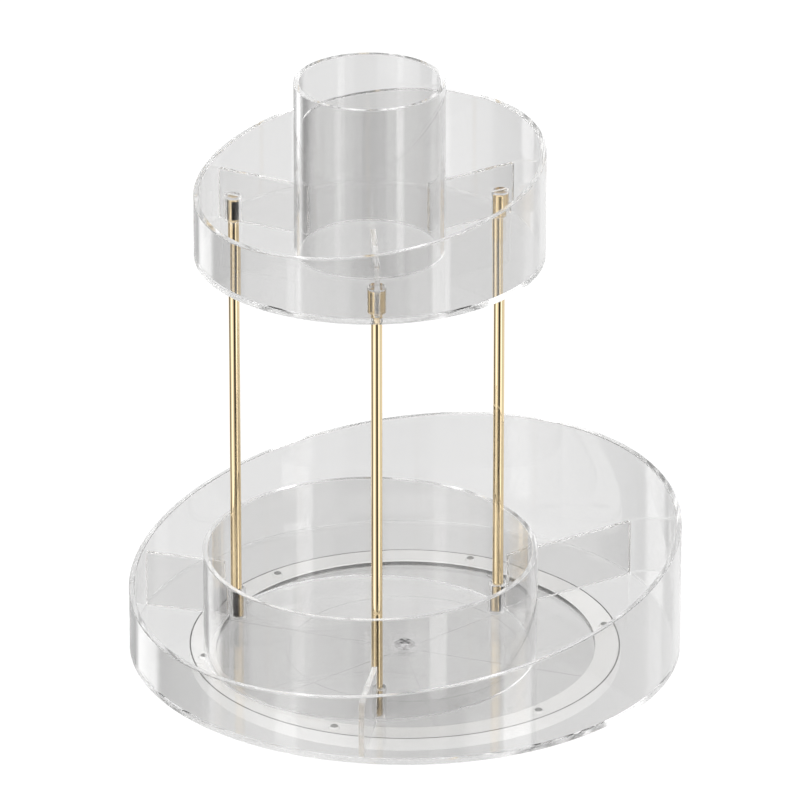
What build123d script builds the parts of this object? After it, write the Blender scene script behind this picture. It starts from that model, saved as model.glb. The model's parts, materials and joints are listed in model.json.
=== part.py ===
from build123d import *
import math
import os

# A two-tier clear organiser that turns on a lazy susan base.
# Millimetres, +Z up. The origin lies on the spin axis, on the surface that the feet stand on.
# The rims slant: +Y points to their tall side, the rear, and -Y to their low side, the front.

# Lower tray
tray_radius = 150.0
tray_wall = 3.0
tray_floor = 3.0
tray_front_height = 28.4  # wall above the floor at its low side
tray_rear_height = 74.1  # wall above the floor at its tall side
lower_divider_height = 32.0

# Inner ring of the lower tray, which stands off the spin axis towards the front
ring_radius = 90.75
ring_wall = 3.0
ring_height = 59.2
front_gap = 34.0  # narrowest width between the ring and the tray wall

# Upper tray, on the ring's axis
tier_height = 233.2  # clear height between the two floors
upper_overhang = 3.25  # upper tray beyond the ring, all round
upper_wall = 3.0
upper_floor = 3.0
upper_front_height = 28.9
upper_rear_height = 59.1
upper_divider_height = 28.6
divider_thickness = 3.0

# Brush cup in the middle of the upper tray
cup_radius = 40.5
cup_wall = 3.0
cup_height = 96.1

# Support rods and the clear sockets that hold their ends
rod_count = 3
rod_radius = 3.0
rod_chamfer = 0.5
socket_wall = 2.0
socket_rounding = 0.5
lower_socket_height = 16.6
lower_socket_base = 1.0  # under the rod's foot
upper_socket_height = 14.6
upper_socket_cap = 2.0  # over the rod's top

# Turntable base
base_inset = 32.4  # tray beyond the ball ring, all round
base_plate = 2.0
rim_wall = 1.4  # the two upright rims that the ball ring sits on
rim_height = 2.5
rib_count = 6
rib_width = 1.6
rib_height = 0.5
ring_rib_radius = 64.0
hub_radius = 8.6

# Ball ring, a white cap over the rims that keeps the balls in place
ball_ring_height = 7.1
ball_ring_width = 13.7
ball_ring_top = 1.0
ball_ring_skirt = 1.6
seam_inset = 0.4  # a fine groove runs round its top, just inside the edge
seam_width = 0.5
seam_depth = 0.6
tray_gap = 2.0  # from the ball ring up to the tray
ball_count = 6
ball_radius = 3.0
ball_first_angle = 7.5  # from +X, in degrees

# Pivot
bush_radius = 8.8
bush_wall = 1.6
bush_height = 4.6  # under the tray floor, which closes its dish
bush_dish_floor = 0.9
spigot_wall = 2.0
washer_thickness = 0.6
washer_side_gap = 1.4
screw_radius = 2.0
screw_head_radius = 4.0
screw_head_height = 1.5
screw_head_rounding = 0.6
screw_floor = 1.6  # base material under the screw's tip
recess_length = 4.4
recess_width = 1.1
recess_depth = 1.1

# Feet
foot_count = 6
foot_radius = 4.0
foot_recess = 0.8  # how far the feet reach into the base
foot_rounding = 0.3
ground_gap = 0.8  # from the table up to the ball ring

# Clearances and edges
bond_gap = 0.05  # cemented joints between curved faces, and rods in sockets
ball_clearance = 0.05
pocket_clearance = 0.1
spigot_clearance = 0.05
axial_play = 0.2
thread_gap = 0.05
washer_bore_gap = 0.1
foot_clearance = 0.1
rim_rounding = 0.6

# Radii and axes that follow
tray_inner = tray_radius - tray_wall
ring_inner = ring_radius - ring_wall
ring_offset = front_gap + ring_radius - tray_inner  # the ring's axis on Y
upper_radius = ring_radius + upper_overhang
upper_inner = upper_radius - upper_wall
socket_radius = rod_radius + bond_gap + socket_wall
rod_pitch = ring_inner - bond_gap - socket_radius
rod_angles = [90.0 + 360.0 / rod_count * k for k in range(rod_count)]
rod_names = ["rear", "left", "right"] if rod_count == 3 else [str(k + 1) for k in range(rod_count)]

ball_ring_radius = tray_radius - base_inset
ball_ring_inner = ball_ring_radius - ball_ring_width
ball_pitch = ball_ring_radius - ball_ring_width / 2
base_radius = ball_ring_radius - ball_ring_skirt - bond_gap
bush_inner = bush_radius - bush_wall
spigot_radius = screw_radius + thread_gap + spigot_wall

# Levels that follow, from the table up
ball_ring_z = ground_gap + ball_ring_height
rim_z = ball_ring_z - ball_ring_top
plate_z = rim_z - rim_height
base_z = plate_z - base_plate
tray_z = ball_ring_z + tray_gap
ball_z = tray_z - ball_clearance - ball_radius
bush_z = tray_z - bush_height
hub_z = bush_z - axial_play
dish_z = bush_z + bush_dish_floor
spigot_z = dish_z + axial_play
head_z = spigot_z + washer_thickness
floor_z = tray_z + tray_floor
upper_z = floor_z + tier_height
shelf_z = upper_z + upper_floor


def bar(z_low, z_high, radius):
    return Pos(0, 0, z_low) * Cylinder(radius, z_high - z_low, align=(Align.CENTER, Align.CENTER, Align.MIN))


def tube(z_low, z_high, outer, inner):
    return bar(z_low, z_high, outer) - bar(z_low, z_high, inner)


def turned(points):
    outline = Plane.XZ * make_face(Polyline(*points, close=True))
    return revolve(outline, Axis.Z)


def polar(radius, angle):
    turn = math.radians(angle)
    return Pos(radius * math.cos(turn), radius * math.sin(turn), 0)


def ring_axis(angle=0.0, radius=0.0):
    return Pos(0, ring_offset, 0) * polar(radius, angle)


def rounded_rim(shell, wall):
    rim = shell.faces().sort_by(Axis.Z)[-1]
    return fillet(rim.edges(), min(rim_rounding, wall * 0.4))


def slanted_wall(z_low, outer, wall, front_height, rear_height):
    slope = math.degrees(math.atan2(rear_height - front_height, 2 * outer))
    rim = Pos(0, 0, z_low + (front_height + rear_height) / 2) * Rot(slope, 0, 0)
    blank = tube(z_low, z_low + 2 * max(front_height, rear_height), outer, outer - wall)
    cut = split(blank, bisect_by=Plane(rim), keep=Keep.BOTTOM)
    return rounded_rim(cut, wall)


def upright_tube(z_low, height, outer, wall):
    return rounded_rim(tube(z_low, z_low + height, outer, outer - wall), wall)


def radial_plate(z_low, height, reach, angle):
    plate = Box(reach, divider_thickness, height, align=(Align.MIN, Align.CENTER, Align.MIN))
    return Rot(0, 0, angle) * Pos(0, 0, z_low) * plate


def turntable_base():
    outline = [
        (0, base_z),
        (base_radius, base_z),
        (base_radius, rim_z),
        (base_radius - rim_wall, rim_z),
        (base_radius - rim_wall, plate_z),
        (ball_ring_inner + rim_wall, plate_z),
        (ball_ring_inner + rim_wall, rim_z),
        (ball_ring_inner, rim_z),
        (ball_ring_inner, plate_z),
        (hub_radius, plate_z),
        (hub_radius, hub_z),
        (spigot_radius, hub_z),
        (spigot_radius, spigot_z),
        (0, spigot_z),
    ]
    body = turned(outline)
    rib_z = plate_z + rib_height
    body += tube(base_z, rib_z, ring_rib_radius + rib_width / 2, ring_rib_radius - rib_width / 2)
    rib_length = ball_ring_inner + rim_wall / 2
    rib = Pos(0, 0, base_z) * Box(rib_length, rib_width, rib_z - base_z, align=(Align.MIN, Align.CENTER, Align.MIN))
    for k in range(rib_count):
        body += Rot(0, 0, ball_first_angle + 360.0 / rib_count * (k + 0.5)) * rib
    for k in range(ball_count):
        body -= ball_place(k) * Pos(0, 0, ball_z) * Sphere(ball_radius + ball_clearance)
    for k in range(foot_count):
        body -= foot_place(k) * bar(base_z, base_z + foot_recess, foot_radius + foot_clearance)
    return body - bar(base_z + screw_floor, spigot_z, screw_radius + thread_gap)


def foot_place(k):
    return polar(ball_pitch, 360.0 / foot_count * k)


def base_foot(k):
    foot = bar(0, base_z + foot_recess, foot_radius)
    return foot_place(k) * fillet(foot.edges().group_by(Axis.Z)[0], foot_rounding)


def ball_place(k):
    return polar(ball_pitch, ball_first_angle + 360.0 / ball_count * k)


def ball_ring():
    seam_outer = ball_ring_radius - seam_inset
    outline = [
        (ball_ring_radius - ball_ring_skirt, ground_gap),
        (ball_ring_radius, ground_gap),
        (ball_ring_radius, ball_ring_z),
        (seam_outer, ball_ring_z),
        (seam_outer, ball_ring_z - seam_depth),
        (seam_outer - seam_width, ball_ring_z - seam_depth),
        (seam_outer - seam_width, ball_ring_z),
        (ball_ring_inner, ball_ring_z),
        (ball_ring_inner, rim_z),
        (ball_ring_radius - ball_ring_skirt, rim_z),
    ]
    ring = turned(outline)
    for k in range(ball_count):
        ring -= ball_place(k) * bar(rim_z, ball_ring_z, ball_radius + pocket_clearance)
    return ring


def bearing_ball(k):
    return ball_place(k) * Pos(0, 0, ball_z) * Sphere(ball_radius)


def pivot_bush():
    bore = spigot_radius + spigot_clearance
    outline = [
        (bore, bush_z),
        (bush_radius, bush_z),
        (bush_radius, tray_z),
        (bush_inner, tray_z),
        (bush_inner, dish_z),
        (bore, dish_z),
    ]
    return turned(outline)


def pivot_washer():
    return tube(spigot_z, head_z, bush_inner - washer_side_gap, screw_radius + washer_bore_gap)


def pivot_screw():
    top_z = head_z + screw_head_height
    head = bar(head_z, top_z, screw_head_radius)
    head = fillet(head.edges().group_by(Axis.Z)[-1], min(screw_head_rounding, screw_head_height * 0.8))
    slot = Pos(0, 0, top_z) * Box(recess_length, recess_width, 2 * recess_depth)
    shank = bar(base_z + screw_floor, head_z, screw_radius)
    return head + shank - slot - Rot(0, 0, 90) * slot


def lower_tray_floor():
    return bar(tray_z, floor_z, tray_radius)


def lower_tray_wall():
    return slanted_wall(floor_z, tray_radius, tray_wall, tray_front_height, tray_rear_height)


def lower_inner_ring():
    return ring_axis() * upright_tube(floor_z, ring_height, ring_radius, ring_wall)


def lower_divider(angle):
    rod_x, rod_y, _ = ring_axis(angle, rod_pitch).position
    top_z = floor_z + lower_divider_height
    plate = radial_plate(floor_z, lower_divider_height, tray_radius, math.degrees(math.atan2(rod_y, rod_x)))
    plate &= bar(floor_z, top_z, tray_inner - bond_gap)
    return plate - ring_axis() * bar(floor_z, top_z, ring_radius + bond_gap)


def lower_socket(angle):
    top_z = floor_z + lower_socket_height
    socket = bar(floor_z, top_z, socket_radius)
    socket = fillet(socket.edges().group_by(Axis.Z)[-1], min(socket_rounding, socket_wall * 0.4))
    return ring_axis(angle, rod_pitch) * (socket - bar(floor_z + lower_socket_base, top_z, rod_radius + bond_gap))


def support_rod(angle):
    foot_z = floor_z + lower_socket_base
    top_z = shelf_z + upper_socket_height - upper_socket_cap
    post = bar(foot_z, top_z, rod_radius)
    post = chamfer(post.edges().group_by(Axis.Z)[0] + post.edges().group_by(Axis.Z)[-1], rod_chamfer)
    return ring_axis(angle, rod_pitch) * post


def upper_socket(angle):
    top_z = shelf_z + upper_socket_height
    socket = bar(shelf_z, top_z, socket_radius)
    socket = fillet(socket.edges().group_by(Axis.Z)[-1], min(socket_rounding, upper_socket_cap * 0.4))
    return ring_axis(angle, rod_pitch) * (socket - bar(shelf_z, top_z - upper_socket_cap, rod_radius + bond_gap))


def upper_tray_floor():
    floor = ring_axis() * bar(upper_z, shelf_z, upper_radius)
    for angle in rod_angles:
        floor -= ring_axis(angle, rod_pitch) * bar(upper_z, shelf_z, rod_radius + bond_gap)
    return floor


def upper_tray_wall():
    return ring_axis() * slanted_wall(shelf_z, upper_radius, upper_wall, upper_front_height, upper_rear_height)


def upper_divider(angle):
    top_z = shelf_z + upper_divider_height
    plate = radial_plate(shelf_z, upper_divider_height, upper_radius, angle)
    plate &= bar(shelf_z, top_z, upper_inner - bond_gap)
    plate -= bar(shelf_z, top_z, cup_radius + bond_gap)
    notch = 2 * (socket_radius + bond_gap)
    arch = Box(notch, notch, upper_socket_height + bond_gap, align=(Align.CENTER, Align.CENTER, Align.MIN))
    return ring_axis() * (plate - Rot(0, 0, angle) * Pos(rod_pitch, 0, shelf_z) * arch)


def brush_cup():
    return ring_axis() * upright_tube(shelf_z, cup_height, cup_radius, cup_wall)


nodes = {
    "turntable_base": turntable_base(),
    "ball_ring": ball_ring(),
    "pivot_bush": pivot_bush(),
    "pivot_washer": pivot_washer(),
    "pivot_screw": pivot_screw(),
    "lower_tray_floor": lower_tray_floor(),
    "lower_tray_wall": lower_tray_wall(),
    "lower_inner_ring": lower_inner_ring(),
    "upper_tray_floor": upper_tray_floor(),
    "upper_tray_wall": upper_tray_wall(),
    "brush_cup": brush_cup(),
}
for k in range(foot_count):
    nodes[f"base_foot_{k + 1}"] = base_foot(k)
for k in range(ball_count):
    nodes[f"bearing_ball_{k + 1}"] = bearing_ball(k)
for name, angle in zip(rod_names, rod_angles):
    nodes[f"support_rod_{name}"] = support_rod(angle)
    nodes[f"lower_socket_{name}"] = lower_socket(angle)
    nodes[f"upper_socket_{name}"] = upper_socket(angle)
    nodes[f"lower_divider_{name}"] = lower_divider(angle)
    nodes[f"upper_divider_{name}"] = upper_divider(angle)

os.makedirs("parts", exist_ok=True)
for name, shape in nodes.items():
    export_step(shape, f"parts/{name}.step")
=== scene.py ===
import json
import math

import bpy
from mathutils import Matrix, Vector

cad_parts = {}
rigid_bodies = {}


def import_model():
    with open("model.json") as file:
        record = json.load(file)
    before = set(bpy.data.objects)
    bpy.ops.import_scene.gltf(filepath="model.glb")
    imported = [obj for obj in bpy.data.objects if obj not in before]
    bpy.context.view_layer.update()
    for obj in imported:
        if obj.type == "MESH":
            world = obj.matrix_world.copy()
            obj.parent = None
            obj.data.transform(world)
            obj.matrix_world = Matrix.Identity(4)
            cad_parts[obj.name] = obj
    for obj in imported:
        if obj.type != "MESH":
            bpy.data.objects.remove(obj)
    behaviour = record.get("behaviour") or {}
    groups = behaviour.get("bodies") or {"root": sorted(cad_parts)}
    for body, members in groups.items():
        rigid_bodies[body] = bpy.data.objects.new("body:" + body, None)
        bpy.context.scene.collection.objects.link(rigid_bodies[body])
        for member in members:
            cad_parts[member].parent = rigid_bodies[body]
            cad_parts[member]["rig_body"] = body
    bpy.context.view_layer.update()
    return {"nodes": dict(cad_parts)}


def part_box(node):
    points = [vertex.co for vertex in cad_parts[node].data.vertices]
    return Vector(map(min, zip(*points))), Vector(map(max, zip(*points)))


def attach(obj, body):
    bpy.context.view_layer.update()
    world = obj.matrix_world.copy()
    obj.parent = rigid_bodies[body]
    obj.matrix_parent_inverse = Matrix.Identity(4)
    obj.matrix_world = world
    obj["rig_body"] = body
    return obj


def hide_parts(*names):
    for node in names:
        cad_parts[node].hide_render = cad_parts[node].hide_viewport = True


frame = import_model()

mm = 0.001
fullTurn = 2 * math.pi
mergeReach = 0.002 * mm

# how the pieces meet and how their edges are finished
joints = {
    "cementGap": 0.05 * mm,  # between two cemented pieces
    "rodGap": 0.05 * mm,  # between a rod and its bore
    "wallSides": 256,
    "partSides": 64,
    "smoothAngle": math.radians(32),
    "sheetShare": 0.98,  # a face that is squarer than this to the sheet isn't a cut edge
    "topShare": 0.5,  # a face that looks up more than this is a top edge
}


# node sheets

class Wire:
    # one socket of a sheet; arithmetic on it adds Math nodes
    def __init__(self, sheet, socket):
        self.sheet = sheet
        self.socket = socket

    def calc(self, operation, first, second):
        return self.sheet.add("ShaderNodeMath", {"operation": operation}, {0: first, 1: second})

    def __add__(self, other):
        return self.calc("ADD", self, other)

    def __radd__(self, other):
        return self.calc("ADD", other, self)

    def __sub__(self, other):
        return self.calc("SUBTRACT", self, other)

    def __rsub__(self, other):
        return self.calc("SUBTRACT", other, self)

    def __mul__(self, other):
        return self.calc("MULTIPLY", self, other)

    def __rmul__(self, other):
        return self.calc("MULTIPLY", other, self)


class NodeSheet:
    def __init__(self, tree):
        self.tree = tree
        tree.nodes.clear()

    def add(self, kind, settings=None, values=None, out=0):
        node = self.tree.nodes.new(kind)
        for key, setting in (settings or {}).items():
            setattr(node, key, setting)
        for key, value in (values or {}).items():
            if isinstance(value, Wire):
                self.tree.links.new(value.socket, node.inputs[key])
            else:
                node.inputs[key].default_value = value
        return Wire(self, node.outputs[out]) if node.outputs else node

    def noise(self, where, scale, detail=3.0, rough=0.5):
        return self.add("ShaderNodeTexNoise", {}, {
            "Vector": where, "Scale": scale, "Detail": detail, "Roughness": rough})

    # the upright part of a place or a direction
    def height(self, where):
        return self.add("ShaderNodeSeparateXYZ", {}, {"Vector": where}, "Z")

    def stretched(self, where, stretch):
        return self.add("ShaderNodeMapping", {}, {"Vector": where, "Scale": stretch})

    # distance from the spin axis
    def radius(self, where):
        level = self.stretched(where, (1.0, 1.0, 0.0))
        return self.add("ShaderNodeVectorMath", {"operation": "LENGTH"}, {0: level}, "Value")

    def between(self, wire, low, high):
        return self.add("ShaderNodeMapRange", {"interpolation_type": "SMOOTHSTEP"}, {
            "Value": wire, "From Min": low, "From Max": high})

    # one in a flat ring about an upright axis, between two heights, and zero elsewhere
    def annulus(self, where, axis, inside, outside, low, high):
        shifted = self.add("ShaderNodeMapping", {}, {
            "Vector": where, "Location": (-axis.x, -axis.y, 0.0)})
        across = self.inside(self.radius(shifted), inside, outside)
        return across * self.inside(self.height(where), low, high)

    # one within some degrees of a bearing about an upright axis, and zero elsewhere
    def sector(self, where, axis, bearing, half):
        shifted = self.add("ShaderNodeMapping", {}, {
            "Vector": where, "Location": (-axis.x, -axis.y, 0.0), "Scale": (1.0, 1.0, 0.0)})
        arm = self.add("ShaderNodeVectorMath", {"operation": "NORMALIZE"}, {0: shifted})
        turn = math.radians(bearing)
        towards = (math.cos(turn), math.sin(turn), 0.0)
        facing = self.facing(arm, towards)
        edge = math.cos(math.radians(half))
        return self.add("ShaderNodeMath", {"operation": "GREATER_THAN"}, {0: facing, 1: edge})

    # how squarely a direction faces another, one when they are the same
    def facing(self, direction, towards):
        return self.add("ShaderNodeVectorMath", {"operation": "DOT_PRODUCT"}, {
            0: direction, 1: towards}, "Value")

    # one between two limits, zero outside them
    def inside(self, wire, low, high):
        above = self.add("ShaderNodeMath", {"operation": "GREATER_THAN"}, {0: wire, 1: low})
        below = self.add("ShaderNodeMath", {"operation": "LESS_THAN"}, {0: wire, 1: high})
        return above * below

    # colours: inputs 6 and 7 and output 2 of the Mix node
    def blend(self, factor, first, second):
        return self.add("ShaderNodeMix", {"data_type": "RGBA"}, {0: factor, 6: first, 7: second}, out=2)

    def bump(self, height, strength, distance):
        return self.add("ShaderNodeBump", {}, {
            "Height": height, "Strength": strength, "Distance": distance})


def newMaterial(name):
    material = bpy.data.materials.new(name)
    material.use_nodes = True
    sheet = NodeSheet(material.node_tree)
    where = sheet.add("ShaderNodeTexCoord", out="Object")
    return material, sheet, where


def closeMaterial(sheet, values):
    shader = sheet.add("ShaderNodeBsdfPrincipled", {}, values)
    sheet.add("ShaderNodeOutputMaterial", {}, {"Surface": shader})


# sizes and places from the frame

def middle(node):
    low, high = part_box(node)
    return (low + high) / 2


def reachOf(node):
    low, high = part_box(node)
    return (high.x - low.x) / 2


sheetThick = 3.0 * mm
rodNames = ["rear", "left", "right"]
filledBores = ["rear", "right"]  # upper sockets that cement fills, the other is dry
# wall, and the floor that it is cemented on
cementedWalls = [
    ("lower_tray_wall", "lower_tray_floor"),
    ("lower_inner_ring", "lower_tray_floor"),
    ("upper_tray_wall", "upper_tray_floor"),
    ("brush_cup", "upper_tray_floor"),
]


# materials

# a clear cement fills the joints, so light passes from piece to piece as in one
def cementedJoints(sheet, where):
    margin = joints["cementGap"]
    total = 0.0
    for wall, floor in cementedWalls:
        outside = reachOf(wall)
        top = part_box(floor)[1].z
        foot = sheet.annulus(where, middle(wall), outside - sheetThick + margin, outside - margin,
                             top - margin, top + 2 * margin)
        total = foot + total
    for rodName in filledBores:
        rod = f"support_rod_{rodName}"
        low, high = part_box(f"upper_socket_{rodName}")
        bore = sheet.annulus(where, middle(rod), reachOf(rod), reachOf(rod) + joints["rodGap"] + margin,
                             low.z + 2 * margin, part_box(rod)[1].z - margin)
        total = bore + total
    return total


acrylicLook = {
    "ior": 1.49,
    "clear": (0.865, 0.863, 0.861, 1.0),
    "thick": (0.83, 0.828, 0.826, 1.0),
    "frost": (0.90, 0.90, 0.89, 1.0),  # white of the matt, sawn edges
    "frostShare": 0.08,
    "tintScale": 9.0,
    "polish": 0.004,  # roughness of the polished sheet
    "handling": 0.03,  # added where it has been wiped and touched
    "smearScale": 55.0,
    "smearStretch": (1.0, 1.0, 0.35),
    "smearRange": (0.62, 0.86),
    "hairlineShare": 0.4,  # of the handling
    "hairlineScale": 130.0,
    "hairlineStretch": (14.0, 14.0, 0.6),
    "hairlineRange": (0.70, 0.80),
    "sawn": 0.12,  # added on the cut edges
    "sawScale": 800.0,
    "sawRough": 0.4,
    "sawGrain": 0.3,
    "rippleScale": 11.0,
    "rippleBump": 0.25,
    "waviness": 0.04 * mm,
}


def clearAcrylic():
    look = acrylicLook
    material, sheet, where = newMaterial("clearAcrylic")
    cut = sheet.add("ShaderNodeAttribute", {"attribute_name": "cutEdge"}, out="Fac")
    tint = sheet.blend(sheet.noise(where, look["tintScale"]), look["clear"], look["thick"])
    smears = sheet.noise(sheet.stretched(where, look["smearStretch"]), look["smearScale"], 5.0, 0.6)
    smears = sheet.between(smears, *look["smearRange"])
    hairlines = sheet.noise(sheet.stretched(where, look["hairlineStretch"]), look["hairlineScale"], 2.0)
    hairlines = sheet.between(hairlines, *look["hairlineRange"])
    rough = look["polish"] + look["handling"] * smears
    rough = rough + look["hairlineShare"] * look["handling"] * hairlines + look["sawn"] * cut
    ripple = sheet.noise(where, look["rippleScale"], 1.0)
    solid = 1 - cementedJoints(sheet, where)
    polished = sheet.add("ShaderNodeBsdfPrincipled", {}, {
        "Base Color": tint, "Roughness": rough, "IOR": look["ior"], "Transmission Weight": 1.0,
        "Alpha": solid, "Normal": sheet.bump(ripple, look["rippleBump"], look["waviness"])})
    sawMarks = sheet.noise(where, look["sawScale"], 2.0)
    sawn = sheet.add("ShaderNodeBsdfPrincipled", {}, {
        "Base Color": look["frost"], "Roughness": look["sawRough"] + look["sawGrain"] * sawMarks,
        "Alpha": solid})
    surface = sheet.add("ShaderNodeMixShader", {}, {0: look["frostShare"] * cut, 1: polished, 2: sawn})
    sheet.add("ShaderNodeOutputMaterial", {}, {"Surface": surface})
    return material


mouldingLook = {
    "ior": 1.53,
    "clear": (0.95, 0.948, 0.946, 1.0),
    "cloudy": (0.92, 0.918, 0.916, 1.0),
    # painted shade: the rim beside the balls gets a dark tone where the ring above shades it
    "paintedShadeGrey": (0.10, 0.10, 0.095, 1.0),
    "shadeInside": 103.7 * mm,  # the rim beside the balls, painted dark as the shade in the hollow under the ring
    "shadeOutside": 105.5 * mm,
    "shadeFoot": 4.7 * mm,
    "shadeFade": 0.25 * mm,
    "gloss": 0.012,
    "flowMarks": 0.05,
    "flowScale": 22.0,
    "flowStretch": (1.0, 1.0, 4.0),
    "flowRange": (0.55, 0.85),
    "flowBump": 0.3,
    "flowDepth": 0.06 * mm,
}


def clearMoulding():
    look = mouldingLook
    material, sheet, where = newMaterial("clearMoulding")
    flow = sheet.noise(sheet.stretched(where, look["flowStretch"]), look["flowScale"], 4.0, 0.55)
    tint = sheet.blend(flow, look["clear"], look["cloudy"])
    fade = look["shadeFade"]
    radius = sheet.radius(where)
    height = sheet.height(where)
    # painted shade: darkens the rim beside the balls, in a band between two radii above a height
    paintedShade = sheet.between(radius, look["shadeInside"] - fade, look["shadeInside"])
    paintedShade = paintedShade * (1 - sheet.between(radius, look["shadeOutside"], look["shadeOutside"] + fade))
    paintedShade = paintedShade * sheet.between(height, look["shadeFoot"], look["shadeFoot"] + fade)
    tint = sheet.blend(paintedShade, tint, look["paintedShadeGrey"])
    rough = look["gloss"] + look["flowMarks"] * sheet.between(flow, *look["flowRange"])
    closeMaterial(sheet, {
        "Base Color": tint, "Roughness": rough, "IOR": look["ior"], "Transmission Weight": 1.0,
        "Normal": sheet.bump(flow, look["flowBump"], look["flowDepth"])})
    return material


bushLook = {
    "white": (0.95, 0.95, 0.95, 1.0),
    "grey": (0.86, 0.86, 0.86, 1.0),
    "body": 0.03,  # how milky the clear plastic is
    "cloud": 0.10,
    "cloudScale": 260.0,
    "satin": 0.22,
    "rubbed": 0.2,
}


def milkyBush():
    look = bushLook
    material, sheet, where = newMaterial("milkyBush")
    flow = sheet.noise(where, look["cloudScale"], 3.0)
    closeMaterial(sheet, {
        "Base Color": sheet.blend(flow, look["white"], look["grey"]),
        "Roughness": look["satin"] + look["rubbed"] * flow,
        "Alpha": look["body"] + look["cloud"] * flow})
    return material


goldLook = {
    "pale": (0.82, 0.665, 0.43, 1.0),
    "deep": (0.76, 0.605, 0.37, 1.0),
    # painted reflection: near-black patches on the rods inside the sockets, where the polished gold
    # reflects dark
    "darkReflection": (0.018, 0.014, 0.012, 1.0),
    "darkReflectionEdge": 1.0 * mm,  # clear of the socket's ends
    # each patch: tier, rod, bearing of its middle, half width in degrees
    "darkReflectionPatches": [
        ("upper", "left", -5.0, 42.0),
        ("upper", "right", -28.0, 14.0),
        ("lower", "left", -76.0, 47.0),
        ("lower", "rear", 26.0, 31.0),
    ],
    "polish": 0.012,
    "cloudScale": 45.0,
    "drawLines": 0.03,
    "drawScale": 2600.0,
    "drawStretch": (1.0, 1.0, 0.004),
    "drawBump": 0.15,
    "drawDepth": 0.0015 * mm,
}


def platedGold():
    look = goldLook
    material, sheet, where = newMaterial("platedGold")
    drawn = sheet.noise(sheet.stretched(where, look["drawStretch"]), look["drawScale"], 3.0)
    clouds = sheet.noise(where, look["cloudScale"], 3.0)
    colour = sheet.blend(clouds, look["pale"], look["deep"])
    # painted reflection: darkens the listed patches of each rod inside its socket
    for tier, rodName, bearing, half in look["darkReflectionPatches"]:
        rod = f"support_rod_{rodName}"
        low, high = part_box(f"{tier}_socket_{rodName}")
        top = min(high.z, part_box(rod)[1].z)
        inSocket = sheet.annulus(where, middle(rod), -1.0, 2 * reachOf(rod),
                                 low.z + look["darkReflectionEdge"], top - look["darkReflectionEdge"])
        patch = inSocket * sheet.sector(where, middle(rod), bearing, half)
        colour = sheet.blend(patch, colour, look["darkReflection"])
    closeMaterial(sheet, {
        "Base Color": colour,
        "Metallic": 1.0,
        "Roughness": look["polish"] + look["drawLines"] * drawn * clouds,
        "Normal": sheet.bump(drawn, look["drawBump"], look["drawDepth"])})
    return material


steelLook = {
    "bright": (0.92, 0.92, 0.93, 1.0),
    "dull": (0.78, 0.78, 0.79, 1.0),
    "recessShade": (0.02, 0.02, 0.022, 1.0),  # painted shade in the cross recess, and in a star spread from it
    "recessShadeReach": 3.6 * mm,
    "recessShadeArms": (12.0, 102.0, 192.0, 282.0),  # bearings
    "recessShadeHalf": 17.0,
    "recessShadeDepth": 1.5 * mm,  # from the top of the head down
    "polish": 0.10,
    "grain": 0.12,
    "grainScale": 900.0,
    "grainBump": 0.2,
    "grainDepth": 0.02 * mm,
}


def platedSteel():
    look = steelLook
    material, sheet, where = newMaterial("platedSteel")
    grain = sheet.noise(where, look["grainScale"], 4.0, 0.6)
    axis = middle("pivot_screw")
    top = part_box("pivot_screw")[1].z
    # painted shade: darkens the cross recess and a four-armed star round it on the head
    recessShade = 0.0
    for bearing in look["recessShadeArms"]:
        recessShade = sheet.sector(where, axis, bearing, look["recessShadeHalf"]) + recessShade
    recessShade = recessShade * sheet.annulus(where, axis, -1.0, look["recessShadeReach"], top - look["recessShadeDepth"], top + mm)
    colour = sheet.blend(recessShade, sheet.blend(grain, look["bright"], look["dull"]), look["recessShade"])
    closeMaterial(sheet, {
        "Base Color": colour,
        "Metallic": 1.0,
        "Roughness": look["polish"] + look["grain"] * grain,
        "Normal": sheet.bump(grain, look["grainBump"], look["grainDepth"])})
    return material


ringColour = {
    "white": (0.93, 0.93, 0.925, 1.0),
    "shade": (0.90, 0.90, 0.895, 1.0),
    "seam": (0.16, 0.16, 0.155, 1.0),  # painted shade in the fine groove
    "seamInside": 116.6 * mm,
    "seamOutside": 117.3 * mm,
    "seamFade": 0.1 * mm,
    "cloudScale": 120.0,
    "satin": 0.26,
    "grain": 0.12,
    "grainScale": 1500.0,
    "grainBump": 0.2,
    "grainDepth": 0.03 * mm,
}


def whitePlastic():
    look = ringColour
    material, sheet, where = newMaterial("whitePlastic")
    clouds = sheet.noise(where, look["cloudScale"], 4.0, 0.55)
    grain = sheet.noise(where, look["grainScale"], 2.0)
    radius = sheet.radius(where)
    fade = look["seamFade"]
    # painted shade: the fine groove round the top is coloured dark
    seam = sheet.between(radius, look["seamInside"] - fade, look["seamInside"])
    seam = seam * (1 - sheet.between(radius, look["seamOutside"], look["seamOutside"] + fade))
    colour = sheet.blend(seam, sheet.blend(clouds, look["white"], look["shade"]), look["seam"])
    closeMaterial(sheet, {
        "Base Color": colour,
        "Roughness": look["satin"] + look["grain"] * grain,
        "Normal": sheet.bump(grain, look["grainBump"], look["grainDepth"])})
    return material


ballLook = {
    "white": (0.95, 0.95, 0.945, 1.0),
    "shade": (0.90, 0.90, 0.895, 1.0),
    "paintedShade": (0.22, 0.22, 0.215, 1.0),  # painted shade on the crown of each ball, where it sits down in its hole in the ring
    "crownShadeDepth": 0.85 * mm,
    "shadeFade": 0.2 * mm,
    "shadeRagged": 0.3 * mm,
    "polish": 0.12,
    "wear": 0.15,
    "wearScale": 420.0,
    "wearRange": (0.5, 0.8),
}


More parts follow.
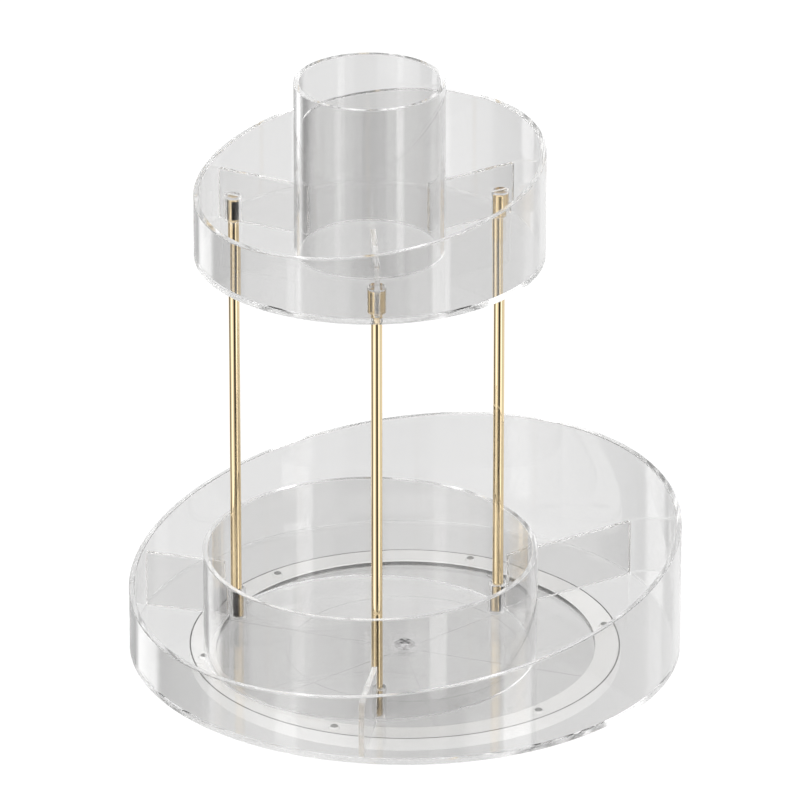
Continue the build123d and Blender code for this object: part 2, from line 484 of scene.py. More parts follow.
def whiteBall():
    look = ballLook
    material, sheet, where = newMaterial("whiteBall")
    wear = sheet.noise(where, look["wearScale"], 4.0, 0.6)
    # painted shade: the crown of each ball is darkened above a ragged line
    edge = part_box("bearing_ball_1")[1].z - look["crownShadeDepth"]
    ragged = sheet.height(where) + look["shadeRagged"] * wear
    paintedShade = sheet.between(ragged, edge, edge + look["shadeFade"])
    clean = sheet.blend(wear, look["white"], look["shade"])
    closeMaterial(sheet, {
        "Base Color": sheet.blend(paintedShade, clean, look["paintedShade"]),
        "Roughness": look["polish"] + look["wear"] * sheet.between(wear, *look["wearRange"])})
    return material


footLook = {
    "ior": 1.41,
    "clear": (0.98, 0.98, 0.975, 1.0),
    "milky": (0.94, 0.94, 0.935, 1.0),
    "softness": 0.05,
    "dust": 0.06,
    "skinScale": 700.0,
    "skinBump": 0.3,
    "skinDepth": 0.03 * mm,
}


def softFoot():
    look = footLook
    material, sheet, where = newMaterial("clearRubber")
    skin = sheet.noise(where, look["skinScale"], 3.0)
    closeMaterial(sheet, {
        "Base Color": sheet.blend(skin, look["clear"], look["milky"]),
        "Roughness": look["softness"] + look["dust"] * skin,
        "IOR": look["ior"], "Transmission Weight": 1.0,
        "Normal": sheet.bump(skin, look["skinBump"], look["skinDepth"])})
    return material


acrylic = clearAcrylic()
moulding = clearMoulding()
bushPlastic = milkyBush()
gold = platedGold()
steel = platedSteel()
whiteRing = whitePlastic()
ballWhite = whiteBall()
footRubber = softFoot()
print("materials made")


# modelling helpers

def activate(piece):
    bpy.ops.object.select_all(action="DESELECT")
    piece.select_set(True)
    bpy.context.view_layer.objects.active = piece


def openEdit(piece):
    activate(piece)
    bpy.ops.object.mode_set(mode="EDIT")
    bpy.ops.mesh.select_all(action="SELECT")


# edit mode with the selection kept as it was marked
def openEditAs(piece):
    activate(piece)
    bpy.ops.object.mode_set(mode="EDIT")


def closeEdit():
    bpy.ops.object.mode_set(mode="OBJECT")


def named(piece, name):
    piece.name = name
    piece.data.name = name
    return piece


# corners are (radius, z) or (radius, z, rounding)
def roundedOutline(corners, steps=4):
    points = []
    for k, corner in enumerate(corners):
        here = Vector(corner[:2])
        if len(corner) < 3:
            points.append(here)
            continue
        before = (Vector(corners[k - 1][:2]) - here).normalized()
        after = (Vector(corners[(k + 1) % len(corners)][:2]) - here).normalized()
        half = before.angle(after) / 2
        centre = here + (before + after).normalized() * corner[2] / math.sin(half)
        reach = corner[2] / math.tan(half)
        startArm = here + before * reach - centre
        endArm = here + after * reach - centre
        arms = [startArm.slerp(endArm, step / steps) for step in range(steps + 1)]  # of length one
        points += [centre + arm * corner[2] for arm in arms]
    return points


# draws the outline by extruding one point, then spins it about an upright axis
def turned(name, corners, axis=(0.0, 0.0), sides=None):
    outline = roundedOutline(corners)
    if min(point.x for point in outline) > mergeReach:
        outline.append(outline[0])
    bpy.ops.object.select_all(action="DESELECT")
    bpy.ops.mesh.primitive_plane_add(size=mm)
    piece = named(bpy.context.active_object, name)
    openEdit(piece)
    bpy.ops.mesh.merge(type="CENTER")
    bpy.ops.transform.translate(value=(axis[0] + outline[0].x, axis[1], outline[0].y))
    for start, end in zip(outline, outline[1:]):
        step = (end.x - start.x, 0.0, end.y - start.y)
        bpy.ops.mesh.extrude_region_move(TRANSFORM_OT_translate={"value": step})
    bpy.ops.mesh.select_all(action="SELECT")
    bpy.ops.mesh.remove_doubles(threshold=mergeReach)
    bpy.ops.mesh.spin(steps=sides or joints["partSides"], angle=fullTurn,
                      center=(axis[0], axis[1], 0.0), axis=(0.0, 0.0, 1.0))
    bpy.ops.mesh.select_all(action="SELECT")
    bpy.ops.mesh.remove_doubles(threshold=mergeReach)
    bpy.ops.mesh.normals_make_consistent(inside=False)
    closeEdit()
    return piece


def bevelled(piece, width, segments=3):
    activate(piece)
    bevel = piece.modifiers.new("edges", "BEVEL")
    bevel.width = width
    bevel.segments = segments
    bevel.limit_method = "ANGLE"
    bpy.ops.object.modifier_apply(modifier=bevel.name)
    return piece


# cuts or joins a second piece, which is then thrown away
def combined(piece, tool, operation):
    activate(piece)
    boolean = piece.modifiers.new("tool", "BOOLEAN")
    boolean.operation = operation
    boolean.solver = "MANIFOLD"
    boolean.object = tool
    bpy.ops.object.modifier_apply(modifier=boolean.name)
    bpy.data.objects.remove(tool)
    return piece


def block(name, size, place, turn=0.0):
    bpy.ops.object.select_all(action="DESELECT")
    bpy.ops.mesh.primitive_cube_add(size=1.0, location=place, rotation=(0.0, 0.0, turn), scale=size)
    bpy.ops.object.transform_apply(location=True, rotation=True, scale=True)
    return named(bpy.context.active_object, name)


# marks the faces that a saw or router left, which are matt beside the polished sheet
def markCutEdges(piece, sheetFacing, sawnShare=1.0):
    cut = piece.data.attributes.new("cutEdge", "FLOAT", "FACE")
    for face in piece.data.polygons:
        isTop = face.normal.z > joints["topShare"]
        share = 1.0 if isTop else sawnShare
        cut.data[face.index].value = share if sheetFacing(face.normal) < joints["sheetShare"] else 0.0


def wallFacing(normal):
    return math.hypot(normal.x, normal.y)


def floorFacing(normal):
    return abs(normal.z)


# shading, finish and the body that the piece rides on
def dress(piece, material, node):
    activate(piece)
    bpy.ops.object.shade_smooth_by_angle(angle=joints["smoothAngle"])
    flats = piece.modifiers.new("flats", "WEIGHTED_NORMAL")
    flats.keep_sharp = True
    bpy.ops.object.modifier_apply(modifier=flats.name)
    piece.data.materials.clear()
    piece.data.materials.append(material)
    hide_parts(node)
    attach(piece, frame["nodes"][node]["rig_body"])
    return piece


# a copy with its own mesh, shifted or turned in the mesh
def copied(piece, name, place):
    twin = piece.copy()
    twin.data = piece.data.copy()
    bpy.context.scene.collection.objects.link(twin)
    named(twin, name)
    twin.data.transform(place)
    return twin


# trays, ring and cup

wallLook = {
    "rimRound": 0.45 * mm,
    "lowerFront": 28.4 * mm,
    "lowerRear": 74.1 * mm,
    "upperFront": 28.9 * mm,
    "upperRear": 59.1 * mm,
}


def slantedWall(name, node, frontHeight, rearHeight):
    look = wallLook
    radius = reachOf(node)
    centre = middle(node)
    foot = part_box(node)[0].z + joints["cementGap"]
    tall = foot + 2 * max(frontHeight, rearHeight)
    inside = radius - sheetThick
    sunk = foot - 2 * look["rimRound"]
    corners = [(inside, sunk), (radius, sunk), (radius, tall), (inside, tall)]
    piece = turned(name, corners, (centre.x, centre.y), joints["wallSides"])
    openEdit(piece)
    bpy.ops.mesh.bisect(
        plane_co=(centre.x, centre.y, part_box(node)[0].z + (frontHeight + rearHeight) / 2),
        plane_no=(0.0, frontHeight - rearHeight, 2 * radius), clear_outer=True)
    bpy.ops.mesh.bridge_edge_loops()
    bpy.ops.mesh.select_all(action="SELECT")
    bpy.ops.mesh.normals_make_consistent(inside=False)
    closeEdit()
    bevelled(piece, look["rimRound"])
    openEdit(piece)
    bpy.ops.mesh.bisect(plane_co=(centre.x, centre.y, foot), plane_no=(0.0, 0.0, 1.0), clear_inner=True)
    bpy.ops.mesh.bridge_edge_loops()  # a square foot, to be cemented on the floor
    bpy.ops.mesh.select_all(action="SELECT")
    bpy.ops.mesh.normals_make_consistent(inside=False)
    closeEdit()
    markCutEdges(piece, wallFacing)
    return dress(piece, acrylic, node)


def uprightTube(name, node):
    look = wallLook
    radius = reachOf(node)
    centre = middle(node)
    low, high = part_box(node)
    foot = low.z + joints["cementGap"]
    edge = look["rimRound"]
    inside = radius - sheetThick
    corners = [(inside, foot), (radius, foot), (radius, high.z, edge), (inside, high.z, edge)]
    piece = turned(name, corners, (centre.x, centre.y), joints["wallSides"])
    markCutEdges(piece, wallFacing)
    return dress(piece, acrylic, node)


slantedWall("lowerTrayWall", "lower_tray_wall", wallLook["lowerFront"], wallLook["lowerRear"])
slantedWall("upperTrayWall", "upper_tray_wall", wallLook["upperFront"], wallLook["upperRear"])
uprightTube("lowerInnerRing", "lower_inner_ring")
uprightTube("brushCup", "brush_cup")
print("walls, ring and cup modelled")


# tray floors

floorLook = {
    "edgeRound": 0.3 * mm,
    "drillPast": 2.0 * mm,  # a drill goes this far past the faces that it cuts
}


def lowerTrayFloor():
    node = "lower_tray_floor"
    low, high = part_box(node)
    edge = floorLook["edgeRound"]
    corners = [(0.0, low.z), (reachOf(node), low.z, edge), (reachOf(node), high.z, edge), (0.0, high.z)]
    piece = turned("lowerTrayFloor", corners, (0.0, 0.0), joints["wallSides"])
    markCutEdges(piece, floorFacing)
    return dress(piece, acrylic, node)


def upperTrayFloor():
    node = "upper_tray_floor"
    low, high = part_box(node)
    centre = middle(node)
    edge = floorLook["edgeRound"]
    corners = [(0.0, low.z), (reachOf(node), low.z, edge), (reachOf(node), high.z, edge), (0.0, high.z)]
    piece = turned("upperTrayFloor", corners, (centre.x, centre.y), joints["wallSides"])
    for rodName in rodNames:
        rod = middle(f"support_rod_{rodName}")
        bore = reachOf(f"support_rod_{rodName}") + joints["rodGap"]
        foot = low.z - floorLook["drillPast"]
        top = high.z + floorLook["drillPast"]
        drill = turned("drill", [(0.0, foot), (bore, foot), (bore, top), (0.0, top)], (rod.x, rod.y))
        combined(piece, drill, "DIFFERENCE")
    markCutEdges(piece, floorFacing)
    return dress(piece, acrylic, node)


lowerTrayFloor()
upperTrayFloor()
print("tray floors modelled")


# dividers

dividerLook = {
    "edgeRound": 0.25 * mm,
    "notchPlay": 0.05 * mm,
    "notchPast": 2.0 * mm,
    "sawnShare": 2.2,  # ends and foot, beside the polished top
}


# a radial plate that ends on two round walls, given as (centre, radius)
def dividerPlate(name, start, heading, insideWall, outsideWall, foot, height):
    long = outsideWall[1] * 2
    across = Vector((math.cos(heading), math.sin(heading), 0.0))
    middlePlace = start + across * long / 2
    middlePlace.z = foot + height / 2
    piece = block(name, (long, sheetThick, height), middlePlace, heading)
    for (centre, radius), keepsOutside in ((insideWall, True), (outsideWall, False)):
        offset = start - centre
        offset.z = 0.0
        back = offset.dot(across)
        along = math.sqrt(back ** 2 - offset.length_squared + radius ** 2) - back
        meeting = start + across * along
        facing = (meeting - centre) * Vector((1.0, 1.0, 0.0))
        openEdit(piece)
        bpy.ops.mesh.bisect(plane_co=meeting, plane_no=facing, use_fill=True,
                            clear_inner=keepsOutside, clear_outer=not keepsOutside)
        closeEdit()
    return piece


def lowerDivider(rodName):
    node = f"lower_divider_{rodName}"
    low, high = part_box(node)
    rod = middle(f"support_rod_{rodName}")
    gap = joints["cementGap"]
    ring = middle("lower_inner_ring")
    ringWall = (ring, reachOf("lower_inner_ring") + gap)
    trayWall = (Vector((0.0, 0.0, 0.0)), reachOf("lower_tray_wall") - sheetThick - gap)
    heading = math.atan2(rod.y, rod.x)
    piece = dividerPlate(f"lowerDivider{rodName.title()}", Vector((0.0, 0.0, 0.0)), heading,
                         ringWall, trayWall, low.z + gap, high.z - low.z - gap)
    bevelled(piece, dividerLook["edgeRound"], 2)
    side = Vector((-math.sin(heading), math.cos(heading), 0.0))
    markCutEdges(piece, lambda normal: abs(normal.dot(side)), dividerLook["sawnShare"])
    return dress(piece, acrylic, node)


def upperDivider(rodName):
    node = f"upper_divider_{rodName}"
    low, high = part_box(node)
    rod = middle(f"support_rod_{rodName}")
    axis = middle("brush_cup")
    gap = joints["cementGap"]
    heading = math.atan2(rod.y - axis.y, rod.x - axis.x)
    cupWall = (axis, reachOf("brush_cup") + gap)
    trayWall = (axis, reachOf("upper_tray_wall") - sheetThick - gap)
    piece = dividerPlate(f"upperDivider{rodName.title()}", axis, heading, cupWall, trayWall,
                         low.z + gap, high.z - low.z - gap)
    socket = f"upper_socket_{rodName}"
    notch = 2 * (reachOf(socket) + dividerLook["notchPlay"])
    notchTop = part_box(socket)[1].z + dividerLook["notchPlay"]
    tall = notchTop - low.z + dividerLook["notchPast"]
    cutter = block("cutter", (notch, notch, tall), (rod.x, rod.y, notchTop - tall / 2), heading)
    combined(piece, cutter, "DIFFERENCE")
    bevelled(piece, dividerLook["edgeRound"], 2)
    side = Vector((-math.sin(heading), math.cos(heading), 0.0))
    markCutEdges(piece, lambda normal: abs(normal.dot(side)), dividerLook["sawnShare"])
    return dress(piece, acrylic, node)


for rodName in rodNames:
    lowerDivider(rodName)
    upperDivider(rodName)
print("dividers modelled")


# rods and sockets

rodLook = {
    "chamfer": 0.5 * mm,
    "chamferSoft": 0.15 * mm,
    "socketRound": 0.5 * mm,
    "lowerSeat": 1.0 * mm,  # socket under a rod's foot
    "upperCap": 2.0 * mm,  # socket over a rod's top
}


def supportRod(rodName):
    node = f"support_rod_{rodName}"
    low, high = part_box(node)
    rod = middle(node)
    radius = reachOf(node)
    slope = rodLook["chamfer"]
    soft = rodLook["chamferSoft"]
    corners = [(0.0, low.z), (radius - slope, low.z, soft), (radius, low.z + slope, soft),
               (radius, high.z - slope, soft), (radius - slope, high.z, soft), (0.0, high.z)]
    piece = turned(f"supportRod{rodName.title()}", corners, (rod.x, rod.y))
    return dress(piece, gold, node)


def lowerSocket(rodName):
    node = f"lower_socket_{rodName}"
    low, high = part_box(node)
    rod = middle(f"support_rod_{rodName}")
    outside = reachOf(node)
    bore = reachOf(f"support_rod_{rodName}") + joints["rodGap"]
    edge = rodLook["socketRound"]
    foot = low.z + joints["cementGap"]
    seat = low.z + rodLook["lowerSeat"] - joints["cementGap"]
    corners = [(0.0, foot), (outside, foot, edge / 2), (outside, high.z, edge), (bore, high.z),
               (bore, seat), (0.0, seat)]
    piece = turned(f"lowerSocket{rodName.title()}", corners, (rod.x, rod.y))
    return dress(piece, acrylic, node)


def upperSocket(rodName):
    node = f"upper_socket_{rodName}"
    low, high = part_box(node)
    rod = middle(f"support_rod_{rodName}")
    outside = reachOf(node)
    bore = reachOf(f"support_rod_{rodName}") + joints["rodGap"]
    edge = rodLook["socketRound"]
    foot = low.z + joints["cementGap"]
    ceiling = high.z - rodLook["upperCap"] + joints["cementGap"]
    corners = [(0.0, ceiling), (bore, ceiling), (bore, foot), (outside, foot, edge / 2),
               (outside, high.z, edge), (0.0, high.z)]
    piece = turned(f"upperSocket{rodName.title()}", corners, (rod.x, rod.y))
    return dress(piece, acrylic, node)


for rodName in rodNames:
    supportRod(rodName)
    lowerSocket(rodName)
    upperSocket(rodName)
print("rods and sockets modelled")


# turntable base

baseLook = {
    "plate": 2.0 * mm,
    "rimWall": 1.4 * mm,  # the two upright rims under the ball ring
    "rimHeight": 2.5 * mm,
    "ribCount": 6,
    "ribWidth": 1.6 * mm,
    "ribHeight": 0.12 * mm,
    "ribRound": 0.11 * mm,
    "ribBuried": 0.5 * mm,  # under the plate's top
    "ribIntoHub": 1.0 * mm,
    "ringRib": 64.0 * mm,
    "hubRadius": 8.6 * mm,
    "hubPlay": 0.2 * mm,
    "hubSlope": 2.5 * mm,
    "spigotRadius": 4.05 * mm,
    "screwHole": 2.05 * mm,
    "screwFloor": 1.6 * mm,
    "edgeRound": 0.3 * mm,
    "ballPlay": 0.05 * mm,
    "footPlay": 0.1 * mm,
    "firstBall": math.radians(7.5),
    "drillPast": 1.0 * mm,
    "ballSides": 40,
}
ballCount = 6
footCount = 6


def ballRadius():
    low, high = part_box("bearing_ball_1")
    return (high.z - low.z) / 2


# a sphere as an outline to turn
def ballOutline(radius, height, steps=20):
    turns = [math.pi * k / steps for k in range(1, steps)]
    side = [(radius * math.sin(turn), height - radius * math.cos(turn)) for turn in turns]
    return [(0.0, height - radius), *side, (0.0, height + radius)]


def turntableBase():
    look = baseLook
    node = "turntable_base"
    low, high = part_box(node)
    bottom = low.z
    outside = reachOf(node)
    plateTop = bottom + look["plate"]
    rimTop = plateTop + look["rimHeight"] - joints["cementGap"]
    ringInside = reachOf("ball_ring") - ringLook["width"]
    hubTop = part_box("pivot_bush")[0].z - look["hubPlay"]
    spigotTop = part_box("pivot_washer")[0].z
    edge = look["edgeRound"]
    outerRim = outside - look["rimWall"]
    innerRim = ringInside + look["rimWall"]
    corners = [
        (0.0, bottom), (outside, bottom, edge), (outside, rimTop, edge), (outerRim, rimTop, edge),
        (outerRim, plateTop, edge), (innerRim, plateTop, edge), (innerRim, rimTop, edge),
        (ringInside, rimTop, edge), (ringInside, plateTop, edge),
        (look["hubRadius"] + look["hubSlope"], plateTop), (look["hubRadius"], hubTop),
        (look["spigotRadius"], hubTop), (look["spigotRadius"], spigotTop, edge),
        (look["screwHole"], spigotTop), (look["screwHole"], bottom + look["screwFloor"]),
        (0.0, bottom + look["screwFloor"]),
    ]
    piece = turned("turntableBase", corners, (0.0, 0.0), joints["wallSides"])
    tall = look["ribHeight"] + look["ribBuried"]
    ribFoot = plateTop - look["ribBuried"]
    ribInside = look["ringRib"] - look["ribWidth"] / 2
    ribOutside = look["ringRib"] + look["ribWidth"] / 2
    ribCorners = [
        (ribInside, ribFoot), (ribOutside, ribFoot),
        (ribOutside, ribFoot + tall, look["ribRound"]), (ribInside, ribFoot + tall, look["ribRound"]),
    ]
    combined(piece, turned("ribRing", ribCorners, (0.0, 0.0), joints["wallSides"]), "UNION")
    ribStart = look["hubRadius"] - look["ribIntoHub"]
    ribEnd = ringInside + look["rimWall"] / 2
    for k in range(look["ribCount"]):
        turn = look["firstBall"] + fullTurn * (k + 0.5) / look["ribCount"]
        reach = (ribStart + ribEnd) / 2
        place = (reach * math.cos(turn), reach * math.sin(turn), ribFoot + tall / 2)
        rib = block("rib", (ribEnd - ribStart, look["ribWidth"], tall), place, turn)
        combined(piece, bevelled(rib, look["ribRound"]), "UNION")
    for k in range(ballCount):
        ball = middle(f"bearing_ball_{k + 1}")
        outline = ballOutline(ballRadius() + look["ballPlay"], ball.z)
        seat = turned("seat", outline, (ball.x, ball.y), look["ballSides"])
        combined(piece, seat, "DIFFERENCE")
    for k in range(footCount):
        foot = middle(f"base_foot_{k + 1}")
        pocket = reachOf(f"base_foot_{k + 1}") + look["footPlay"]
        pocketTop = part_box(f"base_foot_{k + 1}")[1].z
        start = bottom - look["drillPast"]
        pocketCorners = [(0.0, start), (pocket, start), (pocket, pocketTop, edge), (0.0, pocketTop)]
        drill = turned("drill", pocketCorners, (foot.x, foot.y))
        combined(piece, drill, "DIFFERENCE")
    return dress(piece, moulding, node)


ringLook = {
    "width": 13.7 * mm,
    "top": 1.0 * mm,
    "skirt": 1.6 * mm,
    "seamInset": 0.4 * mm,  # a fine groove round the top, just inside the edge
    "seamWidth": 0.5 * mm,
    "seamDepth": 0.6 * mm,
    "holePlay": 0.1 * mm,
    "edgeRound": 0.25 * mm,
    "seamRound": 0.1 * mm,
}


def ballRing():
    look = ringLook
    node = "ball_ring"
    low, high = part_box(node)
    outside = reachOf(node)
    inside = outside - look["width"]
    under = high.z - look["top"]
    seam = outside - look["seamInset"]
    seamFloor = high.z - look["seamDepth"]
    edge = look["edgeRound"]
    fine = look["seamRound"]
    corners = [
        (outside - look["skirt"], low.z, edge), (outside, low.z, edge), (outside, high.z, edge),
        (seam, high.z, fine), (seam, seamFloor), (seam - look["seamWidth"], seamFloor),
        (seam - look["seamWidth"], high.z, fine), (inside, high.z, edge), (inside, under, edge),
        (outside - look["skirt"], under),
    ]
    piece = turned("ballRing", corners, (0.0, 0.0), joints["wallSides"])
    hole = ballRadius() + look["holePlay"]
    for k in range(ballCount):
        ball = middle(f"bearing_ball_{k + 1}")
        start = under - baseLook["drillPast"]
        end = high.z + baseLook["drillPast"]
        drill = turned("drill", [(0.0, start), (hole, start), (hole, end), (0.0, end)], (ball.x, ball.y))
        combined(piece, drill, "DIFFERENCE")
    return dress(piece, whiteRing, node)


def bearingBalls():
    first = middle("bearing_ball_1")
    outline = ballOutline(ballRadius(), first.z)
    ball = turned("bearingBall1", outline, (first.x, first.y), baseLook["ballSides"])
    for k in range(1, ballCount):
        shift = middle(f"bearing_ball_{k + 1}") - first
        twin = copied(ball, f"bearingBall{k + 1}", Matrix.Translation(shift))
        dress(twin, ballWhite, f"bearing_ball_{k + 1}")
    dress(ball, ballWhite, "bearing_ball_1")


turntableBase()
ballRing()
bearingBalls()
print("base and bearing modelled")


# feet

footStyle = {
    "edgeRound": 0.35 * mm,
    "dish": 0.25 * mm,  # hollow underneath
    "dishRadius": 3.6 * mm,
    "dishSoft": 1 / 3,  # rounding of its slope, as a share of its depth
    "topPlay": 0.05 * mm,
}


def baseFeet():
    look = footStyle
    first = middle("base_foot_1")
    low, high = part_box("base_foot_1")
    radius = reachOf("base_foot_1")
    top = high.z - look["topPlay"]
    dish = look["dish"]
    hollow = look["dishRadius"]
    soft = dish * look["dishSoft"]
    corners = [(0.0, low.z + dish), (hollow, low.z + dish, soft), (hollow + dish, low.z, soft),
               (radius, low.z, look["edgeRound"]), (radius, top), (0.0, top)]
    foot = turned("baseFoot1", corners, (first.x, first.y))
    for k in range(1, footCount):
        shift = middle(f"base_foot_{k + 1}") - first
        twin = copied(foot, f"baseFoot{k + 1}", Matrix.Translation(shift))
        dress(twin, footRubber, f"base_foot_{k + 1}")
    dress(foot, footRubber, "base_foot_1")


baseFeet()


# pivot

pivotLook = {
    "bushBore": 4.1 * mm,
    "bushWall": 1.6 * mm,
    "dishFloor": 0.9 * mm,
    "dishRound": 1.5 * mm,
    "bushEdge": 0.3 * mm,
    "washerBore": 2.1 * mm,
    "washerEdge": 0.12 * mm,
    "shank": 2.0 * mm,
    "headTall": 1.5 * mm,
    "shankEdge": 0.3 * mm,
    "headEdge": 0.1 * mm,
    "headRound": 0.6 * mm,
    "crossLong": 4.6 * mm,
    "crossWide": 1.15 * mm,
    "crossDeep": 1.1 * mm,
    "crossTaper": 0.55,
    "crossTurn": math.radians(12.0),
}


def pivotBush():
    look = pivotLook
    node = "pivot_bush"
    low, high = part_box(node)
    edge = look["bushEdge"]
    outside = reachOf(node)
    inside = outside - look["bushWall"]
    top = high.z - joints["cementGap"]
    dish = low.z + look["dishFloor"]
    corners = [(look["bushBore"], low.z), (outside, low.z, edge), (outside, top), (inside, top),
               (inside, dish, look["dishRound"]), (look["bushBore"], dish)]
    return dress(turned("pivotBush", corners), bushPlastic, node)


def pivotWasher():
    look = pivotLook
    node = "pivot_washer"
    low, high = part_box(node)
    edge = look["washerEdge"]
    outside = reachOf(node)
    bore = look["washerBore"]
    corners = [(bore, low.z, edge), (outside, low.z, edge), (outside, high.z, edge), (bore, high.z, edge)]
    return dress(turned("pivotWasher", corners), steel, node)


def pivotScrew():
    look = pivotLook
    node = "pivot_screw"
    low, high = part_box(node)
    under = high.z - look["headTall"]
    shank = look["shank"]
    head = reachOf(node)
    corners = [(0.0, low.z), (shank, low.z, look["shankEdge"]), (shank, under),
               (head, under, look["headEdge"]), (head, high.z, look["headRound"]), (0.0, high.z)]
    piece = turned("pivotScrew", corners)
    for turn in (0.0, math.pi / 2):
        cutter = block("cutter", (look["crossLong"], look["crossWide"], 2 * look["crossDeep"]),
                       (0.0, 0.0, high.z), turn + look["crossTurn"])
        openEdit(cutter)
        bpy.ops.mesh.select_all(action="DESELECT")
        closeEdit()
        for corner in cutter.data.vertices:
            corner.select = corner.co.z < high.z
        openEditAs(cutter)
        bpy.ops.transform.resize(value=(look["crossTaper"], look["crossTaper"], 1.0),
                                 center_override=(0.0, 0.0, high.z))
        closeEdit()
        combined(piece, cutter, "DIFFERENCE")
    return dress(piece, steel, node)


pivotBush()
pivotWasher()
pivotScrew()
print("feet and pivot modelled")


# camera at the photograph's angle

cameraView = {
    "azimuth": math.radians(57.38),
    "elevation": math.radians(24.573),
    "focalPixels": 9453.7,
    "imagePixels": 800,
    "sensor": 36.0,
    "right": 2.67 * mm,  # the origin's place as the camera sees it
    "down": 140.39 * mm,
    "forward": 5156.24 * mm,
}


def aimCamera():
    look = cameraView
    turn = look["azimuth"]
    tilt = look["elevation"]
    right = Vector((math.cos(turn), math.sin(turn), 0.0))
    back = Vector((math.sin(turn) * math.cos(tilt), -math.cos(turn) * math.cos(tilt), math.sin(tilt)))
    up = back.cross(right)
    place = back * look["forward"] + up * look["down"] - right * look["right"]
    data = bpy.data.cameras.new("photoCamera")
    data.sensor_width = look["sensor"]
    data.lens = look["focalPixels"] / look["imagePixels"] * look["sensor"]
    camera = bpy.data.objects.new("photoCamera", data)
    bpy.context.scene.collection.objects.link(camera)
    camera.matrix_world = Matrix.Translation(place) @ Matrix((right, up, back)).transposed().to_4x4()
    bpy.context.scene.camera = camera


# studio: a pale surround with upright light panels and a soft box over the camera

studio = {
    "surround": 0.93,
    "rearSky": 0.80,  # high up, all round
    "skyFoot": 0.05,  # as heights of a direction
    "skyFull": 0.35,
    "softBox": 1.6,
    "boxBearing": -30.0,
    "boxHeight": 50.0,
    "boxReach": 38.0,
    "boxSoft": 14.0,
    "lampLevel": 1.4,  # what matt surfaces get, most of it through the clear trays
    "frontLamp": 2.2,  # the same, from over the camera
    "frontHeight": 25.0,
    "frontReach": 35.0,
    "frontSoft": 30.0,
    "cameraBearing": math.radians(-32.62),
    # each panel: bearing from the camera's, half width, softness in degrees, level
    "panels": [
        (-50.0, 1.0, 28.0, 1.35),
        (-51.0, 2.5, 4.0, 2.4),
        (48.0, 5.5, 1.5, 2.7),
        (-138.0, 10.0, 3.0, 1.5),
        (129.0, 5.0, 3.0, 1.15),
    ],
    "darkTop": 0.0,  # the darks stand low, as heights of a direction
    "darkFull": -0.2,
    "darks": [
        (7.0, 15.0, 7.0, 0.05),
        (-109.0, 13.0, 8.0, 0.08),
        (-162.0, 7.0, 5.0, 0.55),
    ],
}


def studioHeading(bearing, height=0.0):
    turn = studio["cameraBearing"] + math.radians(bearing)
    lift = math.radians(height)
    return (math.cos(turn) * math.cos(lift), math.sin(turn) * math.cos(lift), math.sin(lift))


# one within `half` degrees of a heading, falling to zero over `soft` more
def lobe(sheet, direction, towards, half, soft):
    facing = sheet.facing(direction, towards)
    return sheet.between(facing, math.cos(math.radians(half + soft)), math.cos(math.radians(half)))


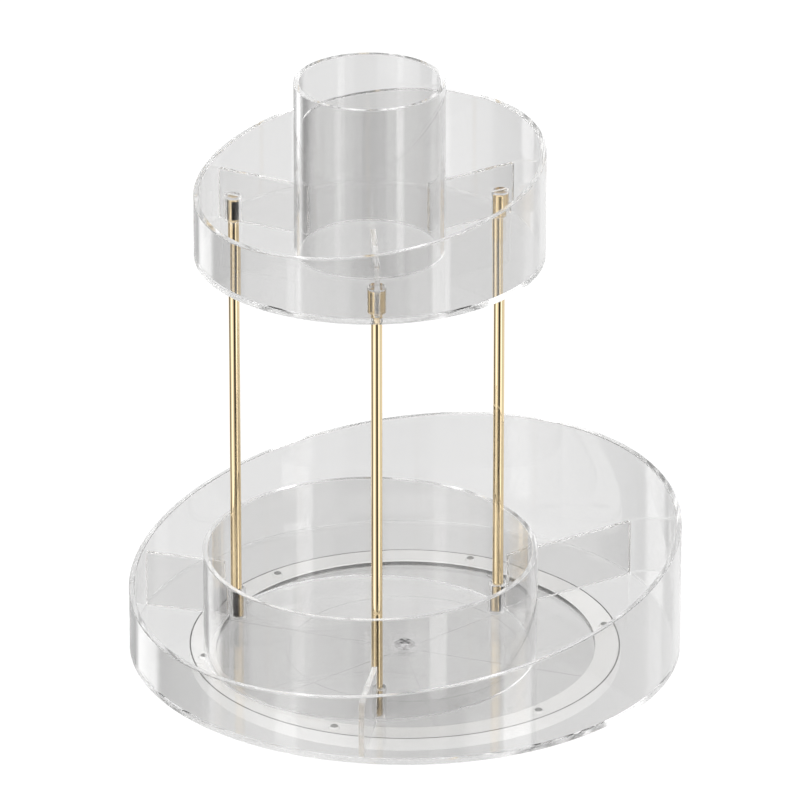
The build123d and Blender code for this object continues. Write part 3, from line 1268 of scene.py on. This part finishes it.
def lightStudio():
    look = studio
    world = bpy.data.worlds.new("studio")
    bpy.context.scene.world = world
    world.use_nodes = True
    sheet = NodeSheet(world.node_tree)
    direction = sheet.add("ShaderNodeTexCoord", out="Generated")
    height = sheet.height(direction)
    sideways = sheet.add("ShaderNodeVectorMath", {"operation": "MULTIPLY"}, {
        0: direction, 1: (1.0, 1.0, 0.0)})
    flat = sheet.add("ShaderNodeVectorMath", {"operation": "NORMALIZE"}, {0: sideways})
    sky = sheet.between(height, look["skyFoot"], look["skyFull"])
    level = look["surround"] + sky * (look["rearSky"] - look["surround"])
    boxHeading = studioHeading(look["boxBearing"], look["boxHeight"])
    box = lobe(sheet, direction, boxHeading, look["boxReach"], look["boxSoft"])
    level = level + box * (look["softBox"] - level)
    for bearing, half, soft, strength in look["panels"]:
        panel = lobe(sheet, flat, studioHeading(bearing), half, soft)
        level = level + panel * (strength - level)
    low = sheet.between(height, look["darkTop"], look["darkFull"])
    for bearing, half, soft, strength in look["darks"]:
        dark = low * lobe(sheet, flat, studioHeading(bearing), half, soft)
        level = level + dark * (strength - level)
    isCamera = sheet.add("ShaderNodeLightPath", out="Is Camera Ray")
    lighting = sheet.between(sheet.add("ShaderNodeLightPath", out="Diffuse Depth"), 0.0, 1.0)
    frontHeading = studioHeading(0.0, look["frontHeight"])
    front = lobe(sheet, direction, frontHeading, look["frontReach"], look["frontSoft"])
    lamps = look["lampLevel"] + front * (look["frontLamp"] - look["lampLevel"])
    level = level + lighting * (lamps - level)
    level = isCamera + (1 - isCamera) * level
    background = sheet.add("ShaderNodeBackground", {}, {"Color": (1.0, 1.0, 1.0, 1.0), "Strength": level})
    sheet.add("ShaderNodeOutputWorld", {}, {"Surface": background})


floorStage = {
    "size": 60.0,
    "drop": 0.2 * mm,
    "colour": (0.95, 0.95, 0.95, 1.0),
    "ownShare": 0.88,  # share of the white that the floor gives off itself
    "ownLevel": 1.04,
}


def layFloor():
    look = floorStage
    bpy.ops.object.select_all(action="DESELECT")
    bpy.ops.mesh.primitive_plane_add(size=look["size"], location=(0.0, 0.0, -look["drop"]))
    floor = named(bpy.context.active_object, "studioFloor")
    material = bpy.data.materials.new("studioFloor")
    material.use_nodes = True
    sheet = NodeSheet(material.node_tree)
    glow = sheet.add("ShaderNodeEmission", {}, {
        "Color": (1.0, 1.0, 1.0, 1.0), "Strength": look["ownLevel"]})
    paint = sheet.add("ShaderNodeBsdfDiffuse", {}, {"Color": look["colour"]})
    mix = sheet.add("ShaderNodeMixShader", {}, {0: look["ownShare"], 1: paint, 2: glow})
    sheet.add("ShaderNodeOutputMaterial", {}, {"Surface": mix})
    floor.data.materials.append(material)
    floor.visible_glossy = False  # clear walls and gold show the studio instead
    floor.visible_transmission = False


aimCamera()
lightStudio()
layFloor()
scene = bpy.context.scene
scene.view_settings.view_transform = "Standard"
bounces = 96  # light runs far round inside the clear floors before it leaves
scene.cycles.max_bounces = bounces
scene.cycles.transmission_bounces = bounces
scene.cycles.glossy_bounces = bounces
scene.cycles.transparent_max_bounces = bounces
scene.cycles.blur_glossy = 0.0  # so that light reaches the ball ring through the trays unblurred
print("camera, studio and floor set")
